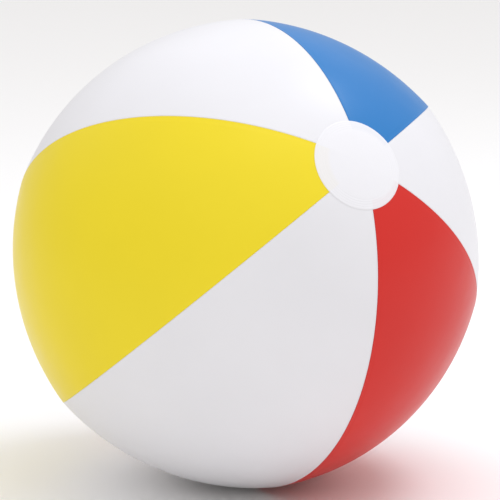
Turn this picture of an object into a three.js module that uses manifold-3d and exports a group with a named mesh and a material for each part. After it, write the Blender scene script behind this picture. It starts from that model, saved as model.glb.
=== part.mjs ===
// Inflatable beach ball: six welded film panels, two polar discs and a push-in valve.
//
// Millimetres, +Z up. The ball stands on z = 0 and its centre is above the origin. Its front pole
// faces -Y and is tilted up. The valve is at the rear pole, which faces +Y and is tilted down.
//
// Film pieces are built flat, as they are cut, and are then inflated onto the ball.

import * as THREE from 'three';
import { mergeVertices } from 'three/addons/utils/BufferGeometryUtils.js';
import Module from 'manifold-3d';

const wasm = await Module();
wasm.setup();

// Ball
const PANEL_LENGTH = 610; // one panel laid flat, pole to pole
const SEAM_RADIUS = PANEL_LENGTH / Math.PI; // outer radius of the inflated ball at its seams
const PANEL_COUNT = 6;
const PANEL_ANGLE = (2 * Math.PI) / PANEL_COUNT;
const FIRST_SEAM = THREE.MathUtils.degToRad(27.7); // longitude of the seam where the blue panel starts
const FRONT_POLE_RISE = THREE.MathUtils.degToRad(30); // tilt of the front pole above the horizon
const FLATTENING = 0.0125; // how far mid-panel lies inside the seam radius, as a share of it
const POLE_ROUNDING = 6; // the higher, the nearer to the poles the flattening reaches

// Film and welds
const FILM = 0.3;
const GAP = 0.3; // clearance between pieces that lie on each other
const SEAM_LAP = 5; // width of the lap weld between two panels
const MARGIN_ZONE = 7; // strip along each edge that keeps its width towards the poles
const JOGGLE_RUN = 0.9; // width over which a white panel steps down below its neighbour
const DISC_RADIUS = 37;
const DISC_LAP = 8; // width of the ring weld between a disc and the panel ends
const FRONT_DISC_SHIFT = [-3.5, 0.6]; // how far the front disc is welded off its pole

// Valve, with heights measured outwards from the skin at the rear pole
const VALVE_HOLE_RADIUS = 9;
const FLANGE_RADIUS = 15;
const FLANGE_THICKNESS = 1;
const FLANGE_RIM_THICKNESS = 0.4;
const FLANGE_BEVEL = 1.6; // width over which the flange thins to its rim
const THROAT_RADIUS = 6;
const SLEEVE_RADIUS = 7.2;
const SLEEVE_BOTTOM = -4;
const STEM_RADIUS = 5.5;
const BORE_RADIUS = 3.7;
const STEM_TOP = 3.3;
const STEM_BOTTOM = -21;
const LIP_RADIUS = 7.6;
const LIP_THICKNESS = 1;
const BEAD_RADIUS = 7;
const BEAD_LENGTH = 2;
const PIN_TOP_RADIUS = 3.4;
const PIN_TIP_RADIUS = 3.1;
const PIN_LENGTH = 9;
const PIN_CHAMFER_WIDTH = 0.6;
const PIN_CHAMFER_LENGTH = 0.8;
const CAP_RADIUS = 6.6;
const CAP_THICKNESS = 1.4;
const TAB_REACH = 13.5; // from the stem's axis to the end of the grip tab
const TAB_WIDTH = 8;
const TAB_THICKNESS = 1;
const TAB_LIFT = 0.2; // of the tab's underside above the cap's
const FLAP_RADIUS = 4.8;
const FLAP_THICKNESS = 0.6;
const FLAP_TONGUE_WIDTH = 4;
const FLAP_HINGE_REACH = 6.6; // from the stem's axis to the flap's hinge line
const STRAP_RADIUS = 11.2; // of the arc that the strap follows round the stem
const STRAP_TURN = 0.75 * Math.PI; // how far round the stem it goes
const STRAP_CORNER = 1.8; // how far inside the arc its straight ends reach
const STRAP_STATIONS = 7;
const STRAP_WIDTH = 2.6;
const STRAP_THICKNESS = 0.9;
const EDGE_BREAK = 0.4; // bevel on the mouldings' outer edges

// Fineness of the curved faces
const PANEL_COLUMNS = 8;
const PANEL_ROWS = 20;
const DISC_SEGMENTS = 30;
const VALVE_SEGMENTS = 28;
const FRONT_DISC_RINGS = 6;
const REAR_DISC_RINGS = 5;
const TAB_END_SEGMENTS = 8;
const STRAP_STEPS = 30;
const WELD_TOLERANCE = 1e-5; // vertices nearer than this are one

// Panels in order of longitude, from the first seam
const PANELS = [
  { name: 'panel_blue', color: 0x2f7fc8, over: true },
  { name: 'panel_white_upper', color: 0xf4f2f4, over: false },
  { name: 'panel_yellow', color: 0xf4d92c, over: true },
  { name: 'panel_white_lower', color: 0xf4f2f4, over: false },
  { name: 'panel_red', color: 0xd0302e, over: true },
  { name: 'panel_white_side', color: 0xf4f2f4, over: false },
];

const DISC_COLOR = 0xf2f0f3;
const VALVE_COLOR = 0xeef0f2;

function glossyVinyl(color) {
  return new THREE.MeshStandardMaterial({ color, roughness: 0.3, metalness: 0 });
}

function softPlastic(color) {
  return new THREE.MeshStandardMaterial({ color, roughness: 0.45, metalness: 0 });
}

function namedMesh(name, geometry, material) {
  geometry.computeVertexNormals();
  const mesh = new THREE.Mesh(geometry, material);
  mesh.name = name;
  return mesh;
}

// Radius of the inflated skin's outer face. Film pulls flat between the seams, so they stand proud.
function skinRadius(colatitude, longitude) {
  const turns = (longitude - FIRST_SEAM) / PANEL_ANGLE;
  const across = 2 * (turns - Math.floor(turns)) - 1; // -1 at one seam, 0 at mid-panel, 1 at the next
  const awayFromPole = 1 - Math.cos(colatitude) ** POLE_ROUNDING;
  return SEAM_RADIUS * (1 - FLATTENING * (1 - across ** 2) * awayFromPole);
}

function pointOnBall(colatitude, longitude, height) {
  const direction = new THREE.Vector3(
    Math.sin(colatitude) * Math.cos(longitude),
    Math.sin(colatitude) * Math.sin(longitude),
    Math.cos(colatitude),
  );
  return direction.multiplyScalar(skinRadius(colatitude, longitude) + height);
}

// Moves every vertex of a flat geometry to the place that the function gives for it.
function bend(geometry, place) {
  const position = geometry.attributes.position;
  const flat = new THREE.Vector3();
  for (let i = 0; i < position.count; i += 1) {
    flat.fromBufferAttribute(position, i);
    const bent = place(flat);
    position.setXYZ(i, bent.x, bent.y, bent.z);
  }
  return geometry;
}

// Longitude, from mid-panel, of a point that lies x from the middle of the panel at its widest.
// The panel narrows towards the poles, and its weld margins keep their width.
function longitudeAcross(x, colatitude) {
  const halfWidth = (SEAM_RADIUS * PANEL_ANGLE) / 2;
  const inner = halfWidth - MARGIN_ZONE;
  const parallelRadius = SEAM_RADIUS * Math.sin(colatitude);
  if (Math.abs(x) <= inner) {
    return (x / inner) * (PANEL_ANGLE / 2 - MARGIN_ZONE / parallelRadius);
  }
  return Math.sign(x) * (PANEL_ANGLE / 2 + (Math.abs(x) - halfWidth) / parallelRadius);
}

// Right margin of a panel's outer face, as [x, y] points from its edge inwards. A coloured panel ends
// at the seam, on top. A white one steps down there and runs on below its neighbour.
function marginProfile(over) {
  const seam = (SEAM_RADIUS * PANEL_ANGLE) / 2;
  if (over) {
    return [[seam, 0]];
  }
  const below = -(FILM + GAP);
  const stepFoot = seam - GAP;
  return [[seam + SEAM_LAP, below], [seam, below], [stepFoot, below], [stepFoot - JOGGLE_RUN, 0]];
}

// Cross-section of a panel laid flat: x across it, y out of it.
function panelSection(over) {
  const inner = (SEAM_RADIUS * PANEL_ANGLE) / 2 - MARGIN_ZONE;
  const margin = marginProfile(over);
  const outer = margin.map(([x, y]) => new THREE.Vector2(-x, y));
  for (let i = 0; i <= PANEL_COLUMNS; i += 1) {
    outer.push(new THREE.Vector2(inner * ((2 * i) / PANEL_COLUMNS - 1), 0));
  }
  margin.reverse().forEach(([x, y]) => outer.push(new THREE.Vector2(x, y)));
  const underside = outer.map((point) => new THREE.Vector2(point.x, point.y - FILM)).reverse();
  return new THREE.Shape([...outer, ...underside]);
}

function makePanel({ name, color, over }, index) {
  const start = DISC_RADIUS - DISC_LAP;
  const length = PANEL_LENGTH - 2 * start;
  const flat = new THREE.ExtrudeGeometry(panelSection(over), {
    depth: length,
    steps: PANEL_ROWS,
    bevelEnabled: false,
  });
  const middle = FIRST_SEAM + (index + 0.5) * PANEL_ANGLE;
  const inflated = bend(flat, ({ x, y, z }) => {
    const colatitude = (start + z) / SEAM_RADIUS;
    return pointOnBall(colatitude, middle + longitudeAcross(x, colatitude), y);
  });
  return namedMesh(name, inflated, glossyVinyl(color));
}

// Turns a profile of [radius, height] points round the Z axis.
function turned(profile, segments) {
  const points = profile.map(([radius, height]) => new THREE.Vector2(radius, height));
  return new THREE.LatheGeometry(points, segments).rotateX(Math.PI / 2);
}

// Lays a flat round piece, centred on the Z axis, over the front pole.
function drapeOverPole(geometry, shift = [0, 0]) {
  return bend(geometry, ({ x, y, z }) => {
    const east = x + shift[0];
    const north = y + shift[1];
    return pointOnBall(Math.hypot(east, north) / SEAM_RADIUS, Math.atan2(north, east), z);
  });
}

// Film between two radii, closed at the axis when the inner radius is 0.
function filmRing(innerRadius, radialSteps) {
  const bottom = GAP;
  const top = GAP + FILM;
  const radii = [];
  for (let i = 0; i <= radialSteps; i += 1) {
    radii.push(innerRadius + ((DISC_RADIUS - innerRadius) * i) / radialSteps);
  }
  const under = radii.map((radius) => [radius, bottom]);
  const over = radii.map((radius) => [radius, top]).reverse();
  const profile = [...under, ...over];
  if (innerRadius > 0) {
    profile.push(under[0]);
  }
  return turned(profile, DISC_SEGMENTS);
}

function makeFrontDisc() {
  const geometry = drapeOverPole(filmRing(0, FRONT_DISC_RINGS), FRONT_DISC_SHIFT);
  return namedMesh('front_disc', geometry, glossyVinyl(DISC_COLOR));
}

function makeRearDisc() {
  const geometry = drapeOverPole(filmRing(VALVE_HOLE_RADIUS, REAR_DISC_RINGS));
  return namedMesh('rear_disc', geometry, glossyVinyl(DISC_COLOR));
}

// Flange with a thinned rim and a short sleeve that guides the stem.
function makeValveBase() {
  const bottom = 2 * GAP + FILM;
  const top = bottom + FLANGE_THICKNESS;
  const profile = [
    [THROAT_RADIUS, SLEEVE_BOTTOM],
    [SLEEVE_RADIUS, SLEEVE_BOTTOM],
    [SLEEVE_RADIUS, bottom],
    [FLANGE_RADIUS, bottom],
    [FLANGE_RADIUS, bottom + FLANGE_RIM_THICKNESS],
    [FLANGE_RADIUS - FLANGE_BEVEL, top],
    [THROAT_RADIUS, top],
    [THROAT_RADIUS, SLEEVE_BOTTOM],
  ];
  const geometry = drapeOverPole(turned(profile, VALVE_SEGMENTS));
  return namedMesh('valve_base', geometry, softPlastic(VALVE_COLOR));
}

// Tube with a lip that stops it when pushed in and a bead that stops it when pulled out.
function makeValveStem() {
  const lipBottom = STEM_TOP - LIP_THICKNESS;
  const beadTop = STEM_BOTTOM + BEAD_LENGTH;
  const geometry = turned([
    [BORE_RADIUS, STEM_BOTTOM],
    [BEAD_RADIUS - EDGE_BREAK, STEM_BOTTOM],
    [BEAD_RADIUS, STEM_BOTTOM + EDGE_BREAK],
    [BEAD_RADIUS, beadTop - EDGE_BREAK],
    [STEM_RADIUS, beadTop],
    [STEM_RADIUS, lipBottom],
    [LIP_RADIUS, lipBottom],
    [LIP_RADIUS, STEM_TOP - EDGE_BREAK],
    [LIP_RADIUS - EDGE_BREAK, STEM_TOP],
    [BORE_RADIUS, STEM_TOP],
    [BORE_RADIUS, STEM_BOTTOM],
  ], VALVE_SEGMENTS);
  return namedMesh('valve_stem', geometry, softPlastic(VALVE_COLOR));
}

function toSolid(geometry) {
  const merged = geometry.clone();
  merged.deleteAttribute('normal');
  merged.deleteAttribute('uv');
  const welded = mergeVertices(merged, WELD_TOLERANCE);
  return new wasm.Manifold(new wasm.Mesh({
    numProp: 3,
    vertProperties: new Float32Array(welded.attributes.position.array),
    triVerts: new Uint32Array(welded.index.array),
  }));
}

function toGeometry(solid) {
  const mesh = solid.getMesh();
  const geometry = new THREE.BufferGeometry();
  geometry.setAttribute('position', new THREE.BufferAttribute(mesh.vertProperties, 3));
  geometry.setIndex(new THREE.BufferAttribute(mesh.triVerts, 1));
  return geometry;
}

// Outline of a strip along +Y with a round end, from the axis out to a given reach.
function roundEndedStrip(width, reach) {
  const half = width / 2;
  const shape = new THREE.Shape();
  shape.moveTo(-half, 0);
  shape.lineTo(half, 0);
  shape.lineTo(half, reach - half);
  shape.absarc(0, reach - half, half, 0, Math.PI, false);
  shape.lineTo(-half, 0);
  return shape;
}

// Tapered pin, round cap and grip tab. The tab points to +Y, which is down on the standing ball.
function makeValvePlug() {
  const capBottom = STEM_TOP + GAP;
  const capTop = capBottom + CAP_THICKNESS;
  const pinTip = capBottom - PIN_LENGTH;
  const pinAndCap = turned([
    [0, pinTip],
    [PIN_TIP_RADIUS - PIN_CHAMFER_WIDTH, pinTip],
    [PIN_TIP_RADIUS, pinTip + PIN_CHAMFER_LENGTH],
    [PIN_TOP_RADIUS, capBottom],
    [CAP_RADIUS, capBottom],
    [CAP_RADIUS, capTop - EDGE_BREAK],
    [CAP_RADIUS - EDGE_BREAK, capTop],
    [0, capTop],
  ], VALVE_SEGMENTS);
  const tab = new THREE.ExtrudeGeometry(roundEndedStrip(TAB_WIDTH, TAB_REACH), {
    depth: TAB_THICKNESS,
    bevelEnabled: false,
    curveSegments: TAB_END_SEGMENTS,
  }).translate(0, 0, capBottom + TAB_LIFT);
  const plug = toSolid(pinAndCap).add(toSolid(tab));
  return namedMesh('valve_plug', toGeometry(plug), softPlastic(VALVE_COLOR));
}

// Round tongue that lies over the stem's inner end. Its hinge line is at -Y.
function makeCheckFlap() {
  const place = STEM_BOTTOM - GAP - FLAP_THICKNESS;
  const disc = new THREE.CylinderGeometry(FLAP_RADIUS, FLAP_RADIUS, FLAP_THICKNESS, VALVE_SEGMENTS)
    .rotateX(Math.PI / 2)
    .translate(0, 0, place + FLAP_THICKNESS / 2);
  const tongue = new THREE.BoxGeometry(FLAP_TONGUE_WIDTH, FLAP_HINGE_REACH, FLAP_THICKNESS)
    .translate(0, -FLAP_HINGE_REACH / 2, place + FLAP_THICKNESS / 2);
  const flap = toSolid(disc).add(toSolid(tongue));
  return namedMesh('check_flap', toGeometry(flap), softPlastic(VALVE_COLOR));
}

function ringPoint(radius, angle, height) {
  return new THREE.Vector3(Math.cos(angle) * radius, Math.sin(angle) * radius, height);
}

// Strap that leaves the stem's lip outwards, runs round the stem and comes in to the plug's cap.
function strapPath() {
  const lipHeight = STEM_TOP - LIP_THICKNESS / 2;
  const capHeight = STEM_TOP + GAP + CAP_THICKNESS / 2;
  const lipAngle = -Math.PI / 2;
  const capAngle = lipAngle - STRAP_TURN;
  const points = [
    ringPoint(LIP_RADIUS + GAP, lipAngle, lipHeight),
    ringPoint(STRAP_RADIUS - STRAP_CORNER, lipAngle, lipHeight),
  ];
  for (let i = 1; i < STRAP_STATIONS; i += 1) {
    const share = i / STRAP_STATIONS;
    const height = THREE.MathUtils.lerp(lipHeight, capHeight, share);
    points.push(ringPoint(STRAP_RADIUS, lipAngle - share * STRAP_TURN, height));
  }
  points.push(ringPoint(STRAP_RADIUS - STRAP_CORNER, capAngle, capHeight));
  points.push(ringPoint(CAP_RADIUS + GAP, capAngle, capHeight));
  return new THREE.CatmullRomCurve3(points, false, 'centripetal');
}

function makeTetherStrap() {
  const section = new THREE.Shape();
  const halfThickness = STRAP_THICKNESS / 2;
  const halfWidth = STRAP_WIDTH / 2;
  section.moveTo(-halfThickness, -halfWidth);
  section.lineTo(halfThickness, -halfWidth);
  section.lineTo(halfThickness, halfWidth);
  section.lineTo(-halfThickness, halfWidth);
  section.closePath();
  const geometry = new THREE.ExtrudeGeometry(section, { steps: STRAP_STEPS, extrudePath: strapPath() });
  return namedMesh('tether_strap', geometry, softPlastic(VALVE_COLOR));
}

function makeValve() {
  const valve = new THREE.Group();
  valve.position.z = SEAM_RADIUS;
  valve.rotation.z = 2 * FIRST_SEAM; // brings the valve's own X axis level
  valve.add(makeValveStem(), makeCheckFlap(), makeValvePlug(), makeTetherStrap());
  return valve;
}

// Pieces of the rear pole are built at the front pole and turned about a seam's own axis.
function makeRearEnd() {
  const end = new THREE.Group();
  const seamAxis = new THREE.Vector3(Math.cos(FIRST_SEAM), Math.sin(FIRST_SEAM), 0);
  end.quaternion.setFromAxisAngle(seamAxis, Math.PI);
  end.add(makeRearDisc(), makeValveBase(), makeValve());
  return end;
}

function makeBall() {
  const ball = new THREE.Group();
  ball.add(...PANELS.map(makePanel), makeFrontDisc(), makeRearEnd());
  ball.rotation.x = Math.PI / 2 - FRONT_POLE_RISE; // lays the polar axis down towards -Y
  const standing = new THREE.Box3().setFromObject(ball, true);
  ball.position.z = -standing.min.z;
  return ball;
}

const beachBall = new THREE.Group();
beachBall.add(makeBall());

export default beachBall;
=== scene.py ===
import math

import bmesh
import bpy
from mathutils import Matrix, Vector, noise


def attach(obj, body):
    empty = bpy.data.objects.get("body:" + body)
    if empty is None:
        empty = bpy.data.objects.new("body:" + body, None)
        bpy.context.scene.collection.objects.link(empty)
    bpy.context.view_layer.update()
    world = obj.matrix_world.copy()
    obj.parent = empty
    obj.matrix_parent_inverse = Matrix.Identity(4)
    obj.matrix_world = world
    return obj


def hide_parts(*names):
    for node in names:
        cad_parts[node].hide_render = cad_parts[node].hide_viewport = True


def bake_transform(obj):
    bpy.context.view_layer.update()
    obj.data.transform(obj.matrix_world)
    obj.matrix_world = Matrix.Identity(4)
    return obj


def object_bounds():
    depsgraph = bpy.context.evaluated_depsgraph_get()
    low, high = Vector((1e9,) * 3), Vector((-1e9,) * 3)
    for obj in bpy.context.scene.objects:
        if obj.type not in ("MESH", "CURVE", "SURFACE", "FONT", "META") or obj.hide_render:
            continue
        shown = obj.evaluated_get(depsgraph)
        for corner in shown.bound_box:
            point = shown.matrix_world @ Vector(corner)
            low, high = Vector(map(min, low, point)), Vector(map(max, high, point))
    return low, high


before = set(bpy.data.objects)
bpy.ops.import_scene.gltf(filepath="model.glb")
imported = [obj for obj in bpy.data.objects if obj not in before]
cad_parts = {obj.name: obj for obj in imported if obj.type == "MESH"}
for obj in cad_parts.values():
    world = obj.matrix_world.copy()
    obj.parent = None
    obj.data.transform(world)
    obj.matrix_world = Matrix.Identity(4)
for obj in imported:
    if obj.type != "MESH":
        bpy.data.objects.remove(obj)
cad_low, cad_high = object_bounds()

# Inflatable beach ball: six vinyl panels, a patch at each pole and a push-in valve.
#
# A film piece starts as a flat sheet or a turned ring and is then laid on the ball: its own x and y
# run over the skin, and its z is the height above it. All lengths are metres.

bl_info = {
    "name": "Beach Ball",
    "version": (1, 0, 0),
    "blender": (4, 5, 0),
    "location": "View3D > Sidebar > Beach Ball",
    "description": "Builds an inflated vinyl beach ball, its valve and a small studio",
    "category": "Add Mesh",
}

MM = 0.001

# Ball, as its CAD model has it
BALL_CENTRE = (cad_low + cad_high) / 2
PANEL_LENGTH = 610 * MM  # one panel laid flat, from pole to pole
SEAM_RADIUS = PANEL_LENGTH / math.pi
PANEL_COUNT = 6
PANEL_ANGLE = math.tau / PANEL_COUNT
FIRST_SEAM = math.radians(27.7)  # longitude of the seam where the blue panel starts
FRONT_POLE_RISE = math.radians(30)  # tilt of the front pole above the horizon
POLE_ROUNDING = 6  # the higher, the nearer to the poles the film pulls flat
SEAM_LAP = 5 * MM
MARGIN_ZONE = 7 * MM  # strip along each panel edge that keeps its width towards the poles
DISC_LAP = 8 * MM  # width of the ring weld between a patch and the panel ends
PATCH_LIFT = 0.08 * MM  # of a patch's underside above the skin
FRONT_PATCH_SHIFT = (-3.5 * MM, 0.6 * MM)  # how far the front patch is welded off its pole
VALVE_HOLE_RADIUS = 9 * MM

# The polar frame has +Z through the front pole. The valve's frame has +Z out of the rear pole.
POLAR_TILT = math.pi / 2 - FRONT_POLE_RISE
POLAR = Matrix.Translation(BALL_CENTRE) @ Matrix.Rotation(POLAR_TILT, 4, "X")
SEAM_AXIS = Vector((math.cos(FIRST_SEAM), math.sin(FIRST_SEAM), 0))
REAR = POLAR @ Matrix.Rotation(math.pi, 4, SEAM_AXIS)
VALVE = REAR @ Matrix.Translation((0, 0, SEAM_RADIUS)) @ Matrix.Rotation(2 * FIRST_SEAM, 4, "Z")

# Name, film, and whether its margins lie over its neighbours', from the first seam onwards
PANELS = [
    ("panel_blue", "blue", True),
    ("panel_white_upper", "white", False),
    ("panel_yellow", "yellow", True),
    ("panel_white_lower", "white", False),
    ("panel_red", "red", True),
    ("panel_white_side", "white", False),
]


# ---------------------------------------------------------------- settings


def rgb(hex_code):
    """The three sRGB parts of a hex colour, from 0 to 1."""
    return tuple(int(hex_code[i:i + 2], 16) / 255 for i in (0, 2, 4))


def length_setting(label, purpose, default):
    """A length that the user can change."""
    return bpy.props.FloatProperty(
        name=label, description=purpose, default=default, min=0, unit="LENGTH", precision=5
    )


def colour_setting(label, purpose, hex_code):
    """A colour that the user can change."""
    return bpy.props.FloatVectorProperty(
        name=label,
        description=purpose,
        default=rgb(hex_code),
        min=0,
        max=1,
        size=3,
        subtype="COLOR_GAMMA",
    )


class BallSizes(bpy.types.PropertyGroup):
    """Sizes of the film and its welds"""

    flattening: bpy.props.FloatProperty(
        name="Flattening",
        description="How far mid-panel lies inside the seams, as a share of the radius",
        default=0.0125,
        min=0,
        max=0.05,
        precision=4,
    )
    film: length_setting("Film", "Thickness of the vinyl film", 0.3 * MM)
    patch_radius: length_setting("Patch radius", "Radius of the round patch at each pole", 37 * MM)
    weld_width: length_setting("Weld width", "Width of the pressed band along each seam", 3 * MM)
    weld_depth: length_setting("Weld depth", "How deep the welding bar presses the film", 0.04 * MM)
    pucker: length_setting("Pucker", "Height of the small puckers beside each seam", 0.07 * MM)
    ring_height: length_setting("Ring height", "Height of the ridges in a patch's ring weld", 0.05 * MM)


class BallColours(bpy.types.PropertyGroup):
    """Colours of the pieces and the floor"""

    white: colour_setting("White film", "Colour of the three white panels", "EAE9EC")
    yellow: colour_setting("Yellow film", "Colour of the yellow panel", "F3DC2E")
    red: colour_setting("Red film", "Colour of the red panel", "D4342E")
    blue: colour_setting("Blue film", "Colour of the blue panel", "307CC0")
    patch: colour_setting("Patches", "Colour of the round patch at each pole", "EBEAED")
    valve: colour_setting("Valve", "Colour of the valve's mouldings", "EEF1F2")
    floor: colour_setting("Floor", "Colour of the floor", "F9F8F7")


class StageSettings(bpy.types.PropertyGroup):
    """Camera and lights"""

    azimuth: bpy.props.FloatProperty(
        name="Camera azimuth",
        description="Where the camera stands, turned from -Y",
        default=math.radians(-32.21),
        subtype="ANGLE",
    )
    elevation: bpy.props.FloatProperty(
        name="Camera elevation",
        description="Height of the camera above the ball's centre",
        default=math.radians(10.84),
        subtype="ANGLE",
    )
    distance: length_setting("Camera distance", "From the camera to the ball's centre", 9.48 * SEAM_RADIUS)
    lens: bpy.props.FloatProperty(
        name="Lens", description="Focal length in millimetres, on a 36 mm sensor", default=159.6
    )
    key_power: bpy.props.FloatProperty(
        name="Key power", description="Power of the softbox above the ball", default=10, unit="POWER"
    )
    ceiling_power: bpy.props.FloatProperty(
        name="Ceiling power", description="Power of the lit ceiling", default=450, unit="POWER"
    )
    fill_power: bpy.props.FloatProperty(
        name="Fill power",
        description="Power of the large softbox above and before the ball",
        default=15,
        unit="POWER",
    )
    surround: bpy.props.FloatProperty(
        name="Surround", description="Brightness of the studio's pale walls", default=0.65
    )


def sizes():
    """The ball's sizes, as the user has set them."""
    return bpy.context.scene.ball_sizes


def colours():
    """The colours, as the user has set them."""
    return bpy.context.scene.ball_colours


def stage():
    """The camera and lights, as the user has set them."""
    return bpy.context.scene.ball_stage


def require(condition, message):
    """Stops the build with a plain message, because a cancelled operator wouldn't stop it."""
    if not condition:
        raise RuntimeError(message)


# ---------------------------------------------------------------- the ball's surface


def skin_radius(colatitude, longitude):
    """Radius of the skin's outer face. Film pulls flat between the seams, so they stand proud."""
    turns = (longitude - FIRST_SEAM) / PANEL_ANGLE
    across = 2 * (turns - math.floor(turns)) - 1
    away_from_pole = 1 - math.cos(colatitude) ** POLE_ROUNDING
    return SEAM_RADIUS * (1 - sizes().flattening * (1 - across**2) * away_from_pole)


def on_ball(colatitude, longitude, height):
    """Point of the polar frame that lies at a height above the skin."""
    radius = skin_radius(colatitude, longitude) + height
    level = radius * math.sin(colatitude)
    east = level * math.cos(longitude)
    north = level * math.sin(longitude)
    return Vector((east, north, radius * math.cos(colatitude)))


def drape(bm, shift=(0.0, 0.0)):
    """Lays a flat round piece, centred on the Z axis, over the front pole."""
    for vert in bm.verts:
        east = vert.co.x + shift[0]
        north = vert.co.y + shift[1]
        vert.co = on_ball(math.hypot(east, north) / SEAM_RADIUS, math.atan2(north, east), vert.co.z)


# ---------------------------------------------------------------- mesh helpers

SHADED_SHARP = math.radians(35)  # an edge that turns more than this isn't shaded smooth
ROUNDED_SHARP = math.radians(25)  # an edge that turns more than this is rounded


def add_object(bm, name, matrix, material):
    """Moves a bmesh to its place and makes it an object that sits at the origin."""
    bmesh.ops.transform(bm, matrix=matrix, verts=bm.verts)
    mesh = bpy.data.meshes.new(name)
    bm.to_mesh(mesh)
    bm.free()
    mesh.shade_smooth()
    mesh.set_sharp_from_angle(angle=SHADED_SHARP)
    mesh.materials.append(material)
    piece = bpy.data.objects.new(name, mesh)
    bpy.context.scene.collection.objects.link(piece)
    return piece


def add_piece(bm, name, matrix, material, node, body):
    """Adds a piece that takes the place of a CAD node and rides a body."""
    piece = add_object(bm, name, matrix, material)
    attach(piece, body)
    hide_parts(node)
    return piece


def add_moulding(bm, name, matrix, node, body):
    """Adds a moulding of the valve."""
    add_piece(bm, name, matrix, valve_material(), node, body)


def turned(points, steps, closed=False):
    """Spins a profile of (radius, height) points a full turn round the Z axis."""
    bm = bmesh.new()
    verts = [bm.verts.new((radius, 0, height)) for radius, height in points]
    edges = [bm.edges.new(pair) for pair in zip(verts, verts[1:])]
    if closed:
        edges.append(bm.edges.new((verts[-1], verts[0])))
    bmesh.ops.spin(
        bm,
        geom=verts + edges,
        cent=(0, 0, 0),
        axis=(0, 0, 1),
        angle=math.tau,
        steps=steps,
        use_merge=True,
    )
    bmesh.ops.remove_doubles(bm, verts=bm.verts, dist=0.0001 * MM)
    bmesh.ops.recalc_face_normals(bm, faces=bm.faces)
    return bm


def face_outwards(bm):
    """Turns an open sheet over the ball the right way round."""
    bm.normal_update()
    if sum(face.normal.dot(face.calc_center_median()) for face in bm.faces) < 0:
        bmesh.ops.reverse_faces(bm, faces=bm.faces)


def round_edges(bm, width, segments=3):
    """Rounds every edge that turns sharply, as a mould's edges do."""
    bm.normal_update()
    sharp = [edge for edge in bm.edges if edge.calc_face_angle(0) > ROUNDED_SHARP]
    bmesh.ops.bevel(
        bm,
        geom=sharp,
        offset=width,
        offset_type="OFFSET",
        segments=segments,
        profile=0.5,
        affect="EDGES",
        material=-1,
        clamp_overlap=True,
    )


def raise_outline(points, bottom, top):
    """A flat solid from an outline of (x, y) points."""
    bm = bmesh.new()
    face = bm.faces.new([bm.verts.new((x, y, bottom)) for x, y in points])
    raised = bmesh.ops.extrude_face_region(bm, geom=[face])["geom"]
    moved = [item for item in raised if isinstance(item, bmesh.types.BMVert)]
    bmesh.ops.translate(bm, verts=moved, vec=(0, 0, top - bottom))
    bmesh.ops.recalc_face_normals(bm, faces=bm.faces)
    return bm


def arc(centre, radius, start, end, steps):
    """Points of an arc, both ends included."""
    angles = [start + (end - start) * i / steps for i in range(steps + 1)]
    return [(centre[0] + radius * math.cos(a), centre[1] + radius * math.sin(a)) for a in angles]


def unite(solids):
    """Joins closed solids into one bmesh."""
    parts = []
    for solid in solids:
        mesh = bpy.data.meshes.new("part")
        solid.to_mesh(mesh)
        solid.free()
        parts.append(bpy.data.objects.new("part", mesh))
        bpy.context.scene.collection.objects.link(parts[-1])
    whole, *others = parts
    for other in others:
        union = whole.modifiers.new("Union", "BOOLEAN")
        union.operation = "UNION"
        union.object = other
    bm = bmesh.new()
    bm.from_object(whole, bpy.context.evaluated_depsgraph_get())
    for part in parts:
        bpy.data.meshes.remove(part.data)  # this removes its object as well
    return bm


# ---------------------------------------------------------------- materials

FILM_SHADER = {"IOR": 1.53, "Specular IOR Level": 0.14}
HANDLING_SPACING = 28 * MM  # between patches of film that are dulled alike
MOTTLE_SPACING = 90 * MM
WAVE_SPACING = 55 * MM
WAVE_DEPTH = 0.1 * MM
PEEL_SPACING = 2.2 * MM  # coarser than the real orange peel, so that it shows
PEEL_DEPTH = 0.001 * MM
RIB_SPACING = 1.4 * MM
RIB_DEPTH = 0.008 * MM
RIB_OVERRUN = 1 * MM  # how far the ribs run past the pressed band's width
SHOW_THROUGH = 0.05  # share of the panels' colours in a patch where it's welded
SHOW_THROUGH_SLOPE = 1.5 * MM
MOULD_GRAIN = 0.5 * MM
MOULD_GRAIN_DEPTH = 0.01 * MM
MOULD_CLOUD = 6 * MM  # size of the milky clouds in a moulding
MILKY_DEPTH = 1 * MM  # how deep light goes into a moulding
PAPER_TOOTH = 2.5 * MM


def linear(colour):
    """Turns an sRGB colour into the linear colour that a shader takes."""
    parts = [part / 12.92 if part <= 0.04045 else ((part + 0.055) / 1.055) ** 2.4 for part in colour]
    return (*parts, 1.0)


def shaded(colour, share):
    """A colour darkened by a share."""
    return [part * (1 - share) for part in colour]


def add_node(tree, kind, settings=None, links=None):
    """Adds a node, sets its options and input values, and links its inputs to nodes or sockets."""
    node = tree.nodes.new(kind)
    for key, value in (settings or {}).items():
        if isinstance(key, int) or key in node.inputs:
            node.inputs[key].default_value = value
        else:
            setattr(node, key, value)
    for key, source in (links or {}).items():
        socket = source.outputs[0] if isinstance(source, bpy.types.Node) else source
        tree.links.new(socket, node.inputs[key])
    return node


def new_material(name, shader_settings):
    """A material with a principled shader joined to its output: its tree and its shader."""
    material = bpy.data.materials.new(name)
    material.use_nodes = True
    tree = material.node_tree
    tree.nodes.clear()
    shader = add_node(tree, "ShaderNodeBsdfPrincipled", shader_settings)
    add_node(tree, "ShaderNodeOutputMaterial", links={"Surface": shader})
    return material, tree, shader


def polar_place(tree):
    """Object coordinates turned into the ball's polar frame."""
    place = add_node(tree, "ShaderNodeTexCoord")
    turn = {"vector_type": "TEXTURE", "Location": BALL_CENTRE, "Rotation": (POLAR_TILT, 0, 0)}
    return add_node(tree, "ShaderNodeMapping", turn, {"Vector": place.outputs["Object"]})


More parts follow.
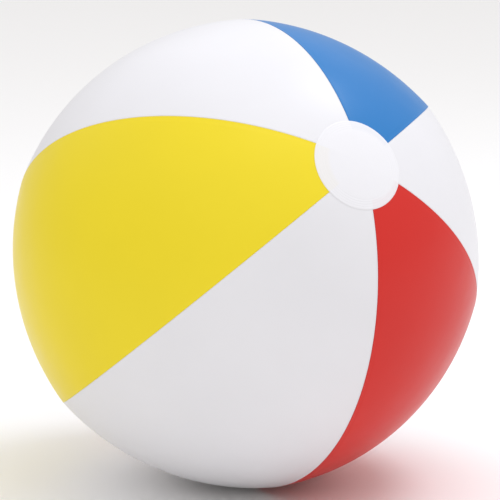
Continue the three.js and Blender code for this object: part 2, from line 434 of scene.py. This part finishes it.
def gloss_finish(tree, shader, place, height):
    """Calendered film's gloss, a little uneven where it was handled, over its relief."""
    handling = add_node(
        tree,
        "ShaderNodeTexNoise",
        {"Scale": 1 / HANDLING_SPACING, "Detail": 4, "Roughness": 0.6},
        {"Vector": place},
    )
    roughness = add_node(
        tree,
        "ShaderNodeMapRange",
        {"From Min": 0.3, "From Max": 0.7, "To Min": 0.3, "To Max": 0.36},
        {"Value": handling},
    )
    relief = add_node(tree, "ShaderNodeBump", {"Distance": 1}, {"Height": height})
    tree.links.new(roughness.outputs[0], shader.inputs["Roughness"])
    tree.links.new(relief.outputs[0], shader.inputs["Normal"])


def film_relief(tree, place):
    """Height of the slow waves and the fine orange peel that the calender's rolls leave."""
    waves = add_node(
        tree,
        "ShaderNodeTexNoise",
        {"Scale": 1 / WAVE_SPACING, "Detail": 2, "Roughness": 0.45},
        {"Vector": place},
    )
    peel = add_node(
        tree,
        "ShaderNodeTexNoise",
        {"Scale": 1 / PEEL_SPACING, "Detail": 2, "Roughness": 0.5},
        {"Vector": place},
    )
    fine = add_node(tree, "ShaderNodeMath", {"operation": "MULTIPLY", 1: PEEL_DEPTH}, {0: peel})
    settings = {"operation": "MULTIPLY_ADD", 1: WAVE_DEPTH}
    return add_node(tree, "ShaderNodeMath", settings, {0: waves, 2: fine})


def calendered_vinyl(name, colour):
    """Calendered PVC film: an even sheet with a soft gloss, whose reflections waver a little.

    The pigment sits in clear plastic, so the colour is deep where it's seen square on and pales
    where the gloss takes over. The pressed weld along each edge has fine ribs across it.
    """
    material, tree, shader = new_material(name, FILM_SHADER)
    place = polar_place(tree)
    over_film = add_node(tree, "ShaderNodeUVMap", {"uv_map": "film"})
    from_edge, along = add_node(tree, "ShaderNodeSeparateXYZ", links={"Vector": over_film}).outputs[:2]
    ribbed = sizes().weld_width + RIB_OVERRUN
    turn = math.tau / RIB_SPACING
    in_weld = add_node(tree, "ShaderNodeMath", {"operation": "LESS_THAN", 1: ribbed}, {0: from_edge})
    phase = add_node(tree, "ShaderNodeMath", {"operation": "MULTIPLY", 1: turn}, {0: along})
    ribs = add_node(tree, "ShaderNodeMath", {"operation": "SINE"}, {0: phase})
    pressed = add_node(tree, "ShaderNodeMath", {"operation": "MULTIPLY"}, {0: ribs, 1: in_weld})
    height = add_node(
        tree,
        "ShaderNodeMath",
        {"operation": "MULTIPLY_ADD", 1: RIB_DEPTH},
        {0: pressed, 2: film_relief(tree, place)},
    )
    mottle = add_node(
        tree,
        "ShaderNodeTexNoise",
        {"Scale": 1 / MOTTLE_SPACING, "Detail": 3, "Roughness": 0.5},
        {"Vector": place},
    )
    tone = add_node(
        tree,
        "ShaderNodeMix",
        {"data_type": "RGBA", 6: linear(colour), 7: linear(shaded(colour, 0.03))},
        {0: mottle},
    )
    tree.links.new(tone.outputs[2], shader.inputs["Base Color"])
    gloss_finish(tree, shader, place, height)
    return material


def patch_vinyl(name, colour, panel_colours):
    """White PVC patch, thin enough that the panel ends below tint it faintly where it's welded."""
    material, tree, shader = new_material(name, FILM_SHADER)
    place = polar_place(tree)
    east, north = add_node(tree, "ShaderNodeSeparateXYZ", links={"Vector": place}).outputs[:2]
    longitude = add_node(tree, "ShaderNodeMath", {"operation": "ARCTAN2"}, {0: north, 1: east})
    from_seam = add_node(tree, "ShaderNodeMath", {"operation": "SUBTRACT", 1: FIRST_SEAM}, {0: longitude})
    turn = add_node(tree, "ShaderNodeMath", {"operation": "DIVIDE", 1: math.tau}, {0: from_seam})
    sector = add_node(tree, "ShaderNodeMath", {"operation": "FRACT"}, {0: turn})
    below = add_node(tree, "ShaderNodeValToRGB", links={"Fac": sector})
    stops = below.color_ramp.elements
    below.color_ramp.interpolation = "CONSTANT"
    for i, panel_colour in enumerate(panel_colours):
        stop = stops[i] if i < 2 else stops.new(i / PANEL_COUNT)
        stop.position = i / PANEL_COUNT
        stop.color = linear(panel_colour)
    flat = add_node(tree, "ShaderNodeVectorMath", {"operation": "MULTIPLY", 1: (1, 1, 0)}, {0: place})
    from_pole = add_node(tree, "ShaderNodeVectorMath", {"operation": "LENGTH"}, {0: flat})
    weld_start = sizes().patch_radius - DISC_LAP
    show_through = add_node(
        tree,
        "ShaderNodeMapRange",
        {
            "From Min": weld_start - SHOW_THROUGH_SLOPE,
            "From Max": weld_start + SHOW_THROUGH_SLOPE,
            "To Max": SHOW_THROUGH,
        },
        {"Value": from_pole.outputs["Value"]},
    )
    tone = add_node(
        tree,
        "ShaderNodeMix",
        {"data_type": "RGBA", 6: linear(colour)},
        {0: show_through, 7: below},
    )
    tree.links.new(tone.outputs[2], shader.inputs["Base Color"])
    gloss_finish(tree, shader, place, film_relief(tree, place))
    return material


def moulded_vinyl(name, colour):
    """Injection-moulded soft PVC: milky, satin, with the faint grain of the mould's walls."""
    milky = {"Subsurface Weight": 0.2, "Subsurface Radius": (1, 1, 1), "Subsurface Scale": MILKY_DEPTH}
    material, tree, shader = new_material(name, {"IOR": 1.52, **milky})
    place = add_node(tree, "ShaderNodeTexCoord").outputs["Object"]
    grain = add_node(
        tree,
        "ShaderNodeTexNoise",
        {"Scale": 1 / MOULD_GRAIN, "Detail": 3, "Roughness": 0.6},
        {"Vector": place},
    )
    cloud = add_node(
        tree,
        "ShaderNodeTexNoise",
        {"Scale": 1 / MOULD_CLOUD, "Detail": 2, "Roughness": 0.5},
        {"Vector": place},
    )
    tone = add_node(
        tree,
        "ShaderNodeMix",
        {"data_type": "RGBA", 6: linear(colour), 7: linear(shaded(colour, 0.05))},
        {0: cloud},
    )
    roughness = add_node(
        tree,
        "ShaderNodeMapRange",
        {"From Min": 0.3, "From Max": 0.7, "To Min": 0.38, "To Max": 0.5},
        {"Value": cloud},
    )
    height = add_node(tree, "ShaderNodeMath", {"operation": "MULTIPLY", 1: MOULD_GRAIN_DEPTH}, {0: grain})
    relief = add_node(tree, "ShaderNodeBump", {"Distance": 1}, {"Height": height})
    tree.links.new(tone.outputs[2], shader.inputs["Base Color"])
    tree.links.new(roughness.outputs[0], shader.inputs["Roughness"])
    tree.links.new(relief.outputs[0], shader.inputs["Normal"])
    return material


def floor_paper(name, colour):
    """Seamless background paper: matt, with a fine tooth."""
    material, tree, shader = new_material(
        name, {"Base Color": linear(colour), "Roughness": 0.9, "Specular IOR Level": 0.1}
    )
    place = add_node(tree, "ShaderNodeTexCoord").outputs["Object"]
    tooth = add_node(tree, "ShaderNodeTexNoise", {"Scale": 1 / PAPER_TOOTH, "Detail": 3}, {"Vector": place})
    relief = add_node(tree, "ShaderNodeBump", {"Strength": 0.05, "Distance": 0.2 * MM}, {"Height": tooth})
    tree.links.new(relief.outputs[0], shader.inputs["Normal"])
    return material


def film_material(kind):
    """The one material of each film."""
    name = f"{kind}_film"
    return bpy.data.materials.get(name) or calendered_vinyl(name, getattr(colours(), kind))


def patch_material():
    """The one material of both patches."""
    below = [getattr(colours(), kind) for _, kind, _ in PANELS]
    return bpy.data.materials.get("patch_film") or patch_vinyl("patch_film", colours().patch, below)


def valve_material():
    """The one material of the valve's mouldings."""
    return bpy.data.materials.get("moulded_vinyl") or moulded_vinyl("moulded_vinyl", colours().valve)


# ---------------------------------------------------------------- panels

PANEL_COLUMNS = 28
PANEL_ROWS = 180
PUCKER_LENGTH = 16 * MM  # along the seam, from one pucker to the next
PUCKER_REACH = 14 * MM  # how far from the seam they die away
PUCKER_GAIN = 4  # brings the noise's usual peak up to about 1
EDGE_ROUNDING = 0.25 * MM
BAND_SLOPE = 0.4 * MM  # width over which the film slopes into a weld's pressed band
BAND_INSET = 0.8 * MM  # from a panel's edge to its pressed band
STEP_RUN = 0.6 * MM  # width over which a white panel steps down below its neighbour
LAP_GAP = 0.1 * MM  # between the two films of a seam


def over_margin():
    """Margin of a coloured panel, from its edge inwards: (distance past the seam, height)."""
    depth = sizes().weld_depth
    band_end = BAND_INSET + sizes().weld_width
    return [
        (0, -EDGE_ROUNDING),
        (-0.3 * EDGE_ROUNDING, -0.3 * EDGE_ROUNDING),
        (-EDGE_ROUNDING, 0),
        (-(BAND_INSET - BAND_SLOPE), 0),
        (-BAND_INSET, -depth),
        (-(BAND_INSET + band_end) / 2, -depth),
        (-band_end, -depth),
        (-(band_end + BAND_SLOPE), 0),
        (-(band_end + 4 * BAND_SLOPE), 0),
    ]


def under_margin():
    """Margin of a white panel, which steps down at the seam and runs on below its neighbour."""
    below = -(sizes().film + LAP_GAP)
    return [
        (SEAM_LAP, below),
        (SEAM_LAP / 2, below),
        (0, below),
        (-0.3 * STEP_RUN, 0.85 * below),
        (-0.55 * STEP_RUN, 0.4 * below),
        (-0.8 * STEP_RUN, 0.1 * below),
        (-1.1 * STEP_RUN, 0),
        (-2 * STEP_RUN, 0),
        (-4 * STEP_RUN, 0),
    ]


def panel_stations(over):
    """Across a panel, left to right: (side, place, height).

    Place is the distance past that side's seam, or on side 0 a share of the way from the middle.
    """
    margin = over_margin() if over else under_margin()
    left = [(-1, past, height) for past, height in margin]
    middle = [(0, 2 * i / PANEL_COLUMNS - 1, 0.0) for i in range(PANEL_COLUMNS + 1)]
    right = [(1, past, height) for past, height in reversed(margin)]
    return left + middle + right


def longitude_at(side, place, colatitude):
    """Longitude from mid-panel. A panel narrows to the poles, and its margins keep their width."""
    parallel = SEAM_RADIUS * math.sin(colatitude)
    if side:
        return side * (PANEL_ANGLE / 2 + place / parallel)
    return place * (PANEL_ANGLE / 2 - MARGIN_ZONE / parallel)


def pucker_height(longitude, colatitude, index):
    """Small puckers that fan out from each seam, where the weld is shorter than the film beside it."""
    parallel = SEAM_RADIUS * math.sin(colatitude)
    side = math.copysign(1, longitude)
    from_lap = max(0.0, (PANEL_ANGLE / 2 - abs(longitude)) * parallel - SEAM_LAP)
    along = colatitude * SEAM_RADIUS
    from_patch = max(0.0, min(along, PANEL_LENGTH - along) - sizes().patch_radius - SEAM_LAP)
    margin_row = side * 3 + index * 7  # sets each margin's puckers apart from the others'
    wave = noise.noise(Vector((along / PUCKER_LENGTH, margin_row, from_lap / (4 * PUCKER_LENGTH))))
    fade = math.exp(-from_lap / PUCKER_REACH) * (1 - math.exp(-from_lap / SEAM_LAP))
    return sizes().pucker * PUCKER_GAIN * wave * fade * (1 - math.exp(-from_patch / PUCKER_REACH))


def make_panel(index):
    """One panel of film, from a flat sheet with its margins, laid on the ball and given its thickness."""
    name, kind, over = PANELS[index]
    stations = panel_stations(over)
    start = sizes().patch_radius - DISC_LAP
    length = PANEL_LENGTH - 2 * start
    middle = FIRST_SEAM + (index + 0.5) * PANEL_ANGLE
    bm = bmesh.new()
    bmesh.ops.create_grid(bm, x_segments=len(stations) - 1, y_segments=PANEL_ROWS, size=0.5)
    film_map = bm.loops.layers.uv.new("film")
    for vert in bm.verts:
        side, place, height = stations[round((vert.co.x + 0.5) * (len(stations) - 1))]
        along = start + (vert.co.y + 0.5) * length
        colatitude = along / SEAM_RADIUS
        longitude = longitude_at(side, place, colatitude)
        half_width = SEAM_RADIUS * math.sin(colatitude) * PANEL_ANGLE / 2
        from_edge = half_width - abs(longitude) * half_width / (PANEL_ANGLE / 2)
        for loop in vert.link_loops:
            loop[film_map].uv = (from_edge, along)
        height += pucker_height(longitude, colatitude, index)
        vert.co = on_ball(colatitude, middle + longitude, height)
    face_outwards(bm)
    film = add_piece(bm, f"{name}_film", POLAR, film_material(kind), name, "ball")
    wall = film.modifiers.new("Film thickness", "SOLIDIFY")
    wall.thickness = sizes().film
    wall.offset = -1


# ---------------------------------------------------------------- polar patches

PATCH_STEPS = 144
RING_PITCH = 1.9 * MM  # between the ridges of the ring weld
RING_COUNT = 4
RIM_RUN = 1.2 * MM  # width over which a patch's rim is squeezed thin
RIM_THICKNESS = 0.06 * MM


def patch_height(from_rim):
    """Height of a patch's outer face: fine ridges in its ring weld, and a rim squeezed thin."""
    top = PATCH_LIFT + sizes().film
    if from_rim < RIM_RUN:
        return top - (sizes().film - RIM_THICKNESS) * (1 - from_rim / RIM_RUN) ** 2
    ridge_place = (from_rim - RIM_RUN) / RING_PITCH
    if ridge_place > RING_COUNT:
        return top
    return top - sizes().ring_height * (1 - math.cos(math.tau * ridge_place)) / 2


def patch_profile(inner):
    """Profile of a patch, out over its outer face and back below: (radius, height)."""
    rim = sizes().patch_radius
    weld = RIM_RUN + RING_COUNT * RING_PITCH
    free_steps = 12
    weld_steps = 60
    free = [inner + (rim - weld - inner) * i / free_steps for i in range(free_steps)]
    welded = [rim - weld + weld * i / weld_steps for i in range(weld_steps + 1)]
    outer_face = [(radius, patch_height(rim - radius)) for radius in free + welded]
    underside = [(radius, PATCH_LIFT) for radius in reversed(free + [rim])]
    return outer_face + underside


def make_patch(name, inner, matrix, shift):
    """Round patch, with a hole where the inner radius isn't 0, laid over a pole."""
    bm = turned(patch_profile(inner), PATCH_STEPS, closed=inner > 0)
    drape(bm, shift)
    add_piece(bm, f"{name}_film", matrix, patch_material(), name, "ball")


# ---------------------------------------------------------------- valve

VALVE_STEPS = 72
MOULD_ROUNDING = 0.25 * MM

# Heights are measured outwards from the skin at the rear pole.
FLANGE_RADIUS = 15 * MM
FLANGE_BOTTOM = 0.42 * MM
FLANGE_TOP = 1.4 * MM
COLLAR_TOP = 1.9 * MM
COLLAR_RADIUS = 8.4 * MM
THROAT_RADIUS = 6 * MM
SLEEVE_RADIUS = 7.2 * MM
SLEEVE_BOTTOM = -4 * MM
STEM_RADIUS = 5.5 * MM
BORE_RADIUS = 3.7 * MM
STEM_TOP = 3.3 * MM
STEM_BOTTOM = -21 * MM
LIP_RADIUS = 7.6 * MM
LIP_BOTTOM = 2.3 * MM
BEAD_RADIUS = 7 * MM
BEAD_LENGTH = 2 * MM
CAP_RADIUS = 6.6 * MM
CAP_BOTTOM = 3.6 * MM
CAP_TOP = 5 * MM
PIN_RADIUS = 3.2 * MM
PIN_TIP = -5.4 * MM
PIN_BANDS = (-2.4 * MM, 0.8 * MM)  # heights of the two sealing bands on the pin
TAB_WIDTH = 8 * MM
TAB_REACH = 13.5 * MM
TAB_BOTTOM = 3.8 * MM
TAB_TOP = 4.8 * MM
FLAP_RADIUS = 4.8 * MM
FLAP_THICKNESS = 0.6 * MM
FLAP_TONGUE = 4 * MM
FLAP_HINGE = 6.6 * MM  # from the stem's axis to the hinge line
FLANGE_RINGS = (13.4 * MM, 11.4 * MM)  # outer radii of the flange's raised rings
RING_WIDTH = 0.8 * MM
RING_RISE = 0.3 * MM
RING_SLOPE = 0.1 * MM
TAB_RIDGES = (8.4 * MM, 9.8 * MM, 11.2 * MM)  # from the stem's axis to each grip ridge
STRAP_ROOT = 0.2 * MM  # how far the strap's ends reach into the lip and the cap
STRAP_RADIUS = 11.2 * MM  # of the arc that the strap follows round the stem
STRAP_TURN = 0.75 * math.pi
STRAP_WIDTH = 2.6 * MM
STRAP_THICKNESS = 0.9 * MM


def flange_rings():
    """Two raised rings on the flange, from the outer one inwards, as profile points."""
    points = []
    crest = FLANGE_TOP + RING_RISE
    for outer in FLANGE_RINGS:
        inner = outer - RING_WIDTH
        points += [
            (outer, FLANGE_TOP),
            (outer - RING_SLOPE, crest),
            (inner + RING_SLOPE, crest),
            (inner, FLANGE_TOP),
        ]
    return points


def make_valve_base():
    """Round flange with two raised rings, a collar and a short sleeve that guides the stem."""
    bm = turned([
        (THROAT_RADIUS, SLEEVE_BOTTOM),
        (SLEEVE_RADIUS, SLEEVE_BOTTOM),
        (SLEEVE_RADIUS, FLANGE_BOTTOM),
        (FLANGE_RADIUS, FLANGE_BOTTOM),
        (FLANGE_RADIUS, FLANGE_BOTTOM + 0.5 * MM),
        (FLANGE_RADIUS - 0.8 * MM, FLANGE_TOP),
        *flange_rings(),
        (COLLAR_RADIUS + 0.8 * MM, FLANGE_TOP),
        (COLLAR_RADIUS, COLLAR_TOP),
        (THROAT_RADIUS, COLLAR_TOP),
    ], VALVE_STEPS, closed=True)
    round_edges(bm, 0.12 * MM, 2)
    drape(bm)
    add_moulding(bm, "valve_base_moulding", REAR, "valve_base", "ball")


def make_valve_stem():
    """Tube with a lip that stops it when pushed in and a bead that stops it when pulled out."""
    bead_top = STEM_BOTTOM + BEAD_LENGTH
    bm = turned([
        (BORE_RADIUS, STEM_BOTTOM),
        (BEAD_RADIUS, STEM_BOTTOM),
        (BEAD_RADIUS, bead_top - 0.4 * MM),
        (STEM_RADIUS, bead_top),
        (STEM_RADIUS, LIP_BOTTOM),
        (LIP_RADIUS, LIP_BOTTOM),
        (LIP_RADIUS, STEM_TOP),
        (BORE_RADIUS, STEM_TOP),
    ], VALVE_STEPS, closed=True)
    round_edges(bm, MOULD_ROUNDING)
    add_moulding(bm, "valve_stem_moulding", VALVE, "valve_stem", "stem")


def pin_and_cap():
    """Pin with two sealing bands under a round cap."""
    band = 0.15 * MM
    points = [(0, PIN_TIP), (PIN_RADIUS - 0.7 * MM, PIN_TIP), (PIN_RADIUS, PIN_TIP + 0.9 * MM)]
    for height in PIN_BANDS:
        points += [
            (PIN_RADIUS, height - 0.6 * MM),
            (PIN_RADIUS + band, height - 0.3 * MM),
            (PIN_RADIUS + band, height + 0.3 * MM),
            (PIN_RADIUS, height + 0.6 * MM),
        ]
    points += [(PIN_RADIUS, CAP_BOTTOM), (CAP_RADIUS, CAP_BOTTOM), (CAP_RADIUS, CAP_TOP), (0, CAP_TOP)]
    bm = turned(points, VALVE_STEPS)
    round_edges(bm, 0.12 * MM, 2)
    return bm


def grip_ridge(near):
    """One ridge across the grip tab, for the finger."""
    half = 2.4 * MM
    far = near + 0.6 * MM
    foot = TAB_TOP - 0.2 * MM
    ridge = raise_outline([(-half, near), (half, near), (half, far), (-half, far)], foot, CAP_TOP)
    round_edges(ridge, 0.14 * MM)
    return ridge


def make_plug():
    """Pin, cap and grip tab. The tab points down on the standing ball."""
    half = TAB_WIDTH / 2
    round_end = reversed(arc((0, TAB_REACH - half), half, 0, math.pi, 24))
    tab = raise_outline([(-half, 0), *round_end, (half, 0)], TAB_BOTTOM, TAB_TOP)
    round_edges(tab, MOULD_ROUNDING)
    ridges = [grip_ridge(start) for start in TAB_RIDGES]
    bm = unite([pin_and_cap(), tab, *ridges])
    add_moulding(bm, "valve_plug_moulding", VALVE, "valve_plug", "plug")


def make_check_flap():
    """Round tongue over the stem's inner end, with its hinge line on the side away from the grip tab."""
    half = FLAP_TONGUE / 2
    corner = math.asin(half / FLAP_RADIUS)
    outline = arc((0, 0), FLAP_RADIUS, corner - math.pi / 2, 1.5 * math.pi - corner, 48)
    outline += [(-half, -FLAP_HINGE), (half, -FLAP_HINGE)]
    top = STEM_BOTTOM - 0.3 * MM
    bm = raise_outline(outline, top - FLAP_THICKNESS, top)
    round_edges(bm, 0.12 * MM)
    add_moulding(bm, "check_flap_moulding", VALVE, "check_flap", "flap")


def strap_route():
    """Middle line of the strap: out from the stem's lip, round the stem and in to the plug's cap."""
    lip_height = (LIP_BOTTOM + STEM_TOP) / 2
    cap_height = (CAP_BOTTOM + CAP_TOP) / 2
    corner = 0.22  # radians that a bend takes at each end of the arc
    bend = 1.8 * MM
    steps = 40
    places = [(LIP_RADIUS - STRAP_ROOT, 0.0), (STRAP_RADIUS - bend, 0.0)]
    places += [(STRAP_RADIUS, corner + (STRAP_TURN - 2 * corner) * i / steps) for i in range(steps + 1)]
    places += [(STRAP_RADIUS - bend, STRAP_TURN), (CAP_RADIUS - STRAP_ROOT, STRAP_TURN)]
    route = []
    for radius, turn in places:
        angle = -math.pi / 2 - turn
        share = min(max((turn - corner) / (STRAP_TURN - 2 * corner), 0.0), 1.0)
        height = lip_height + share * (cap_height - lip_height)
        route.append(Vector((radius * math.cos(angle), radius * math.sin(angle), height)))
    return route


def make_tether():
    """Flat moulded strap, from the stem's lip round the stem to the plug's cap."""
    route = strap_route()
    bm = bmesh.new()
    bmesh.ops.create_grid(bm, x_segments=len(route) - 1, y_segments=2, size=0.5)
    for vert in bm.verts:
        i = round((vert.co.x + 0.5) * (len(route) - 1))
        ahead = route[min(i + 1, len(route) - 1)] - route[max(i - 1, 0)]
        sideways = Vector((ahead.y, -ahead.x, 0)).normalized()
        vert.co = route[i] + sideways * vert.co.y * STRAP_WIDTH
    bmesh.ops.translate(bm, verts=bm.verts, vec=(0, 0, STRAP_THICKNESS / 2))
    bmesh.ops.recalc_face_normals(bm, faces=bm.faces)
    bmesh.ops.solidify(bm, geom=bm.faces, thickness=STRAP_THICKNESS)
    round_edges(bm, MOULD_ROUNDING)
    strap = add_object(bm, "tether_strap_moulding", VALVE, valve_material())
    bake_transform(strap)
    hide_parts("tether_strap")


# ---------------------------------------------------------------- stage

AIM_RIGHT = 3.75 * MM  # the camera aims a little right of and above the ball's centre
AIM_UP = 3.36 * MM
SENSOR_WIDTH = 36
CLIP_START = 0.05
CLIP_END = 100
FLOOR_RADIUS = 30
KEY_DIRECTION = Vector((0.47, -0.07, 0.88))  # from the ball's centre to the softbox above it
KEY_DISTANCE = 2.2
KEY_SIZE = 0.7
FILL_DIRECTION = Vector((0.05, -0.30, 0.96))
FILL_DISTANCE = 3
FILL_SIZE = 2
CEILING_HEIGHT = 6
CEILING_SIZE = 20
COOL_WHITE = (0.96, 0.99, 1.06)
WARM_WHITE = (1.02, 1.0, 0.98, 1)


def camera_side():
    """Direction from the ball's centre to the camera."""
    azimuth, elevation = stage().azimuth, stage().elevation
    level = math.cos(elevation)
    return Vector((math.sin(azimuth) * level, -math.cos(azimuth) * level, math.sin(elevation)))


def make_camera():
    """Camera on the side that the stage's settings give."""
    back = camera_side()
    right = Vector((math.cos(stage().azimuth), math.sin(stage().azimuth), 0))
    aim = BALL_CENTRE + right * AIM_RIGHT + back.cross(right) * AIM_UP
    camera = bpy.data.objects.new("camera", bpy.data.cameras.new("camera"))
    bpy.context.scene.collection.objects.link(camera)
    camera.location = BALL_CENTRE + back * stage().distance
    camera.rotation_euler = (aim - camera.location).to_track_quat("-Z", "Y").to_euler()
    camera.data.lens = stage().lens
    camera.data.sensor_width = SENSOR_WIDTH
    camera.data.clip_start = CLIP_START
    camera.data.clip_end = CLIP_END
    bpy.context.scene.camera = camera


def make_floor():
    """Wide round sheet of background paper."""
    bm = bmesh.new()
    bmesh.ops.create_circle(bm, cap_ends=True, segments=96, radius=FLOOR_RADIUS)
    add_object(bm, "floor", Matrix.Identity(4), floor_paper("floor_paper", colours().floor))


def make_softbox(name, direction, distance, size, power):
    """Square softbox that faces the ball, placed by its direction from the ball's centre."""
    data = bpy.data.lights.new(name, "AREA")
    data.size = size
    data.energy = power
    data.color = COOL_WHITE
    softbox = bpy.data.objects.new(name, data)
    bpy.context.scene.collection.objects.link(softbox)
    softbox.location = BALL_CENTRE + direction.normalized() * distance
    softbox.rotation_euler = (-direction).to_track_quat("-Z", "Y").to_euler()


def make_lights():
    """Pale walls, a lit ceiling, a small softbox above the ball and a large one above and before it."""
    world = bpy.data.worlds.new("pale_walls")
    bpy.context.scene.world = world
    world.use_nodes = True
    walls = world.node_tree.nodes["Background"]
    walls.inputs["Color"].default_value = WARM_WHITE
    walls.inputs["Strength"].default_value = stage().surround
    make_softbox("ceiling", Vector((0, 0, 1)), CEILING_HEIGHT, CEILING_SIZE, stage().ceiling_power)
    make_softbox("key_softbox", KEY_DIRECTION, KEY_DISTANCE, KEY_SIZE, stage().key_power)
    make_softbox("fill_softbox", FILL_DIRECTION, FILL_DISTANCE, FILL_SIZE, stage().fill_power)


# ---------------------------------------------------------------- operators


class BEACHBALL_OT_stage(bpy.types.Operator):
    """Make the camera, the floor and the light"""
    bl_idname = "beach_ball.stage"
    bl_label = "Stage"

    def execute(self, context):
        require(stage().distance > SEAM_RADIUS, "The camera would be inside the ball")
        make_camera()
        make_floor()
        make_lights()
        context.scene.view_settings.view_transform = "Standard"
        return {"FINISHED"}


class BEACHBALL_OT_panels(bpy.types.Operator):
    """Make the six film panels"""
    bl_idname = "beach_ball.panels"
    bl_label = "Film panels"

    def execute(self, context):
        require(sizes().weld_width < MARGIN_ZONE / 2, "The welds are wider than the panels' margins")
        for index in range(PANEL_COUNT):
            make_panel(index)
        return {"FINISHED"}


class BEACHBALL_OT_patches(bpy.types.Operator):
    """Make the round patch at each pole"""
    bl_idname = "beach_ball.patches"
    bl_label = "Polar patches"

    def execute(self, context):
        require(sizes().patch_radius > FLANGE_RADIUS + DISC_LAP, "The patches are too small for the valve")
        make_patch("front_disc", 0, POLAR, FRONT_PATCH_SHIFT)
        make_patch("rear_disc", VALVE_HOLE_RADIUS, REAR, (0, 0))
        return {"FINISHED"}


class BEACHBALL_OT_valve_base(bpy.types.Operator):
    """Make the flange that is welded on the rear patch"""
    bl_idname = "beach_ball.valve_base"
    bl_label = "Valve base"

    def execute(self, context):
        make_valve_base()
        return {"FINISHED"}


class BEACHBALL_OT_valve_stem(bpy.types.Operator):
    """Make the tube that slides in the valve base"""
    bl_idname = "beach_ball.valve_stem"
    bl_label = "Valve stem"

    def execute(self, context):
        make_valve_stem()
        return {"FINISHED"}


class BEACHBALL_OT_check_flap(bpy.types.Operator):
    """Make the flap that closes the stem's inner end"""
    bl_idname = "beach_ball.check_flap"
    bl_label = "Check flap"

    def execute(self, context):
        make_check_flap()
        return {"FINISHED"}


class BEACHBALL_OT_plug(bpy.types.Operator):
    """Make the plug with its cap and grip tab"""
    bl_idname = "beach_ball.plug"
    bl_label = "Plug"

    def execute(self, context):
        make_plug()
        return {"FINISHED"}


class BEACHBALL_OT_tether(bpy.types.Operator):
    """Make the strap that keeps the plug on the stem"""
    bl_idname = "beach_ball.tether"
    bl_label = "Tether strap"

    def execute(self, context):
        make_tether()
        return {"FINISHED"}


# In the order of making
OPERATORS = [
    BEACHBALL_OT_stage,
    BEACHBALL_OT_panels,
    BEACHBALL_OT_patches,
    BEACHBALL_OT_valve_base,
    BEACHBALL_OT_valve_stem,
    BEACHBALL_OT_check_flap,
    BEACHBALL_OT_plug,
    BEACHBALL_OT_tether,
]


class BEACHBALL_PT_sidebar(bpy.types.Panel):
    """The ball's settings, and a button for each piece"""
    bl_idname = "BEACHBALL_PT_sidebar"
    bl_label = "Beach Ball"
    bl_space_type = "VIEW_3D"
    bl_region_type = "UI"
    bl_category = "Beach Ball"

    def draw(self, context):
        for settings in (sizes(), colours(), stage()):
            column = self.layout.column(align=True)
            for setting in type(settings).__annotations__:
                column.prop(settings, setting)
        for operator in OPERATORS:
            self.layout.operator(operator.bl_idname)


CLASSES = [BallSizes, BallColours, StageSettings, *OPERATORS, BEACHBALL_PT_sidebar]


def register():
    """Makes the settings, operators and panel known to Blender."""
    for item in CLASSES:
        bpy.utils.register_class(item)
    bpy.types.Scene.ball_sizes = bpy.props.PointerProperty(type=BallSizes)
    bpy.types.Scene.ball_colours = bpy.props.PointerProperty(type=BallColours)
    bpy.types.Scene.ball_stage = bpy.props.PointerProperty(type=StageSettings)


def unregister():
    """Takes back what register made known."""
    del bpy.types.Scene.ball_stage
    del bpy.types.Scene.ball_colours
    del bpy.types.Scene.ball_sizes
    for item in reversed(CLASSES):
        bpy.utils.unregister_class(item)


def main():
    """Builds the stage and the ball."""
    register()
    bpy.ops.beach_ball.stage()
    bpy.ops.beach_ball.panels()
    bpy.ops.beach_ball.patches()
    bpy.ops.beach_ball.valve_base()
    bpy.ops.beach_ball.valve_stem()
    bpy.ops.beach_ball.check_flap()
    bpy.ops.beach_ball.plug()
    bpy.ops.beach_ball.tether()


if __name__ == "__main__":
    main()
